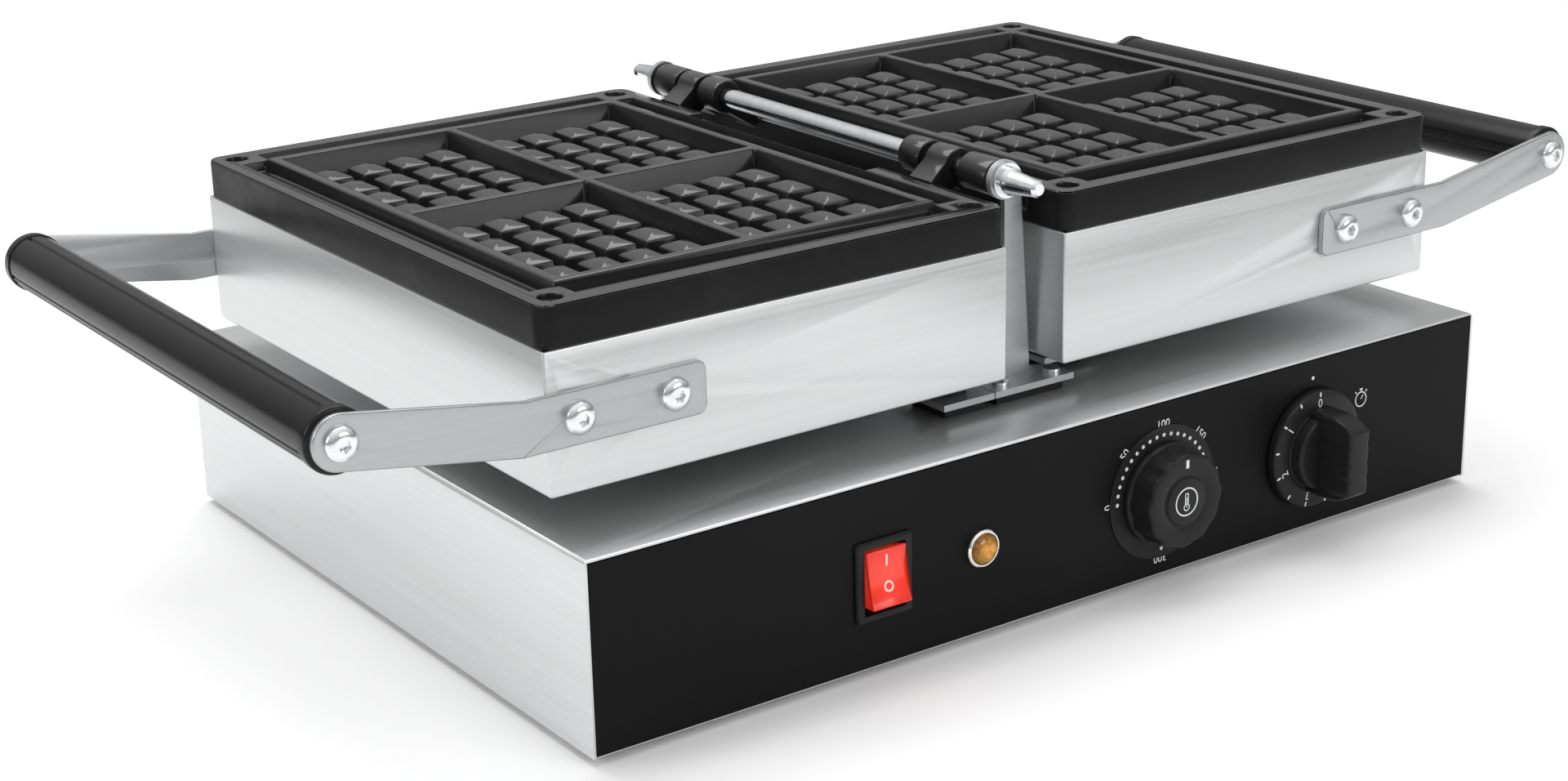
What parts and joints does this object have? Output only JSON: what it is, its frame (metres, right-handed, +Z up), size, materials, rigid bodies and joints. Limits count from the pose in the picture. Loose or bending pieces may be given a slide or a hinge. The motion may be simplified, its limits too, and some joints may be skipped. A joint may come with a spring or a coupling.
{
  "type": "double waffle maker",
  "caption": "Table-top waffle maker: two hinged studded irons with side handles on a low steel control base with switch, lamp, thermostat and timer.",
  "frame": {"origin": "on the floor, under the middle of the object's bounding box", "axes": "+Z up, +X to the operator's right, -Y towards the operator; both irons open and lying flat"},
  "size_m": [0.6006, 0.356, 0.1676],
  "materials": {
    "housing_steel": "brushed stainless steel, satin, grain along each face",
    "strap_steel": "brushed stainless strip with soft edges",
    "panel_black": "black printed overlay, satin gloss",
    "cast_plate": "black non-stick coated casting, fine grain",
    "zinc_screws": "bright zinc plate",
    "hinge_shaft_steel": "ground bright steel",
    "plate_screw_black": "black oxide",
    "thrust_black": "dark heat-resistant plastic",
    "rubber_black": "black rubber, matt",
    "grip_black": "black phenolic moulding, half gloss",
    "switch_black": "black nylon",
    "rocker_red": "translucent red, lit from inside",
    "knob_black": "black moulding, fine satin",
    "dial_black": "black disc with pale print",
    "lamp_chrome": "polished ring",
    "lamp_amber": "clear amber, faceted",
    "control_body": "phenolic body",
    "terminal_white": "pale ceramic-filled plastic",
    "element_steel": "dark heat-tinted tube",
    "clamp_sheet": "plain rolled sheet",
    "mineral_wool": "pale mineral wool"
  },
  "bodies": {
    "base": {"base_shell": "housing_steel", "front_plate": "housing_steel", "control_panel": "panel_black", "bottom_cover": "housing_steel", "cover_screws": "zinc_screws", "rubber_feet": "rubber_black", "foot_screws": "zinc_screws", "hinge_post_front": "strap_steel", "hinge_post_rear": "strap_steel", "insulating_blocks": "thrust_black", "rest_plates": "strap_steel", "rest_bumpers": "rubber_black", "post_bolts": "zinc_screws", "hinge_shaft": "hinge_shaft_steel", "hinge_end_nuts": "zinc_screws", "hinge_washers": "zinc_screws", "thrust_rings": "thrust_black", "top_lead_bushes": "rubber_black", "rocker_frame": "switch_black", "lamp_holder": "lamp_chrome", "lamp_lens": "lamp_amber", "lamp_nut": "zinc_screws", "thermostat_body": "control_body", "timer_body": "control_body", "control_screws": "zinc_screws", "temperature_dial": "dial_black", "cable_gland": "switch_black", "gland_nut": "switch_black", "terminal_block": "terminal_white"},
    "left_iron": {"left_pan": "housing_steel", "left_waffle_plate": "cast_plate", "left_plate_screws": "plate_screw_black", "left_heating_element": "element_steel", "left_element_clamp": "clamp_sheet", "left_wool_pad": "mineral_wool", "left_strap_front": "strap_steel", "left_strap_rear": "strap_steel", "left_grip": "grip_black", "left_grip_rod": "hinge_shaft_steel", "left_handle_screws": "zinc_screws", "left_strap_nuts": "zinc_screws", "left_lead_bush": "rubber_black"},
    "right_iron": {"right_pan": "housing_steel", "right_waffle_plate": "cast_plate", "right_plate_screws": "plate_screw_black", "right_heating_element": "element_steel", "right_element_clamp": "clamp_sheet", "right_wool_pad": "mineral_wool", "right_strap_front": "strap_steel", "right_strap_rear": "strap_steel", "right_grip": "grip_black", "right_grip_rod": "hinge_shaft_steel", "right_handle_screws": "zinc_screws", "right_strap_nuts": "zinc_screws", "right_lead_bush": "rubber_black"},
    "rocker": {"rocker": "rocker_red"},
    "temperature_knob": {"temperature_knob": "knob_black", "thermostat_shaft": "hinge_shaft_steel"},
    "timer_knob": {"timer_knob": "knob_black", "timer_shaft": "hinge_shaft_steel"}
  },
  "joints": [
    {"name": "left_iron_hinge", "type": "hinge", "parent": "base", "child": "left_iron", "pos_m": [0, 0.008, 0.16], "axis": [0, 1, 0], "range_deg": [0, 180]},
    {"name": "right_iron_hinge", "type": "hinge", "parent": "base", "child": "right_iron", "pos_m": [0, 0.008, 0.16], "axis": [0, -1, 0], "range_deg": [0, 180]},
    {"name": "rocker_tip", "type": "hinge", "parent": "base", "child": "rocker", "pos_m": [-0.0937, -0.1485, 0.038], "axis": [1, 0, 0], "range_deg": [0, 20]},
    {"name": "temperature_turn", "type": "hinge", "parent": "base", "child": "temperature_knob", "pos_m": [0.0418, -0.1515, 0.038], "axis": [0, 1, 0], "range_deg": [-90, 180]},
    {"name": "timer_turn", "type": "hinge", "parent": "base", "child": "timer_knob", "pos_m": [0.1227, -0.1515, 0.038], "axis": [0, 1, 0], "range_deg": [0, 280]}
  ]
}
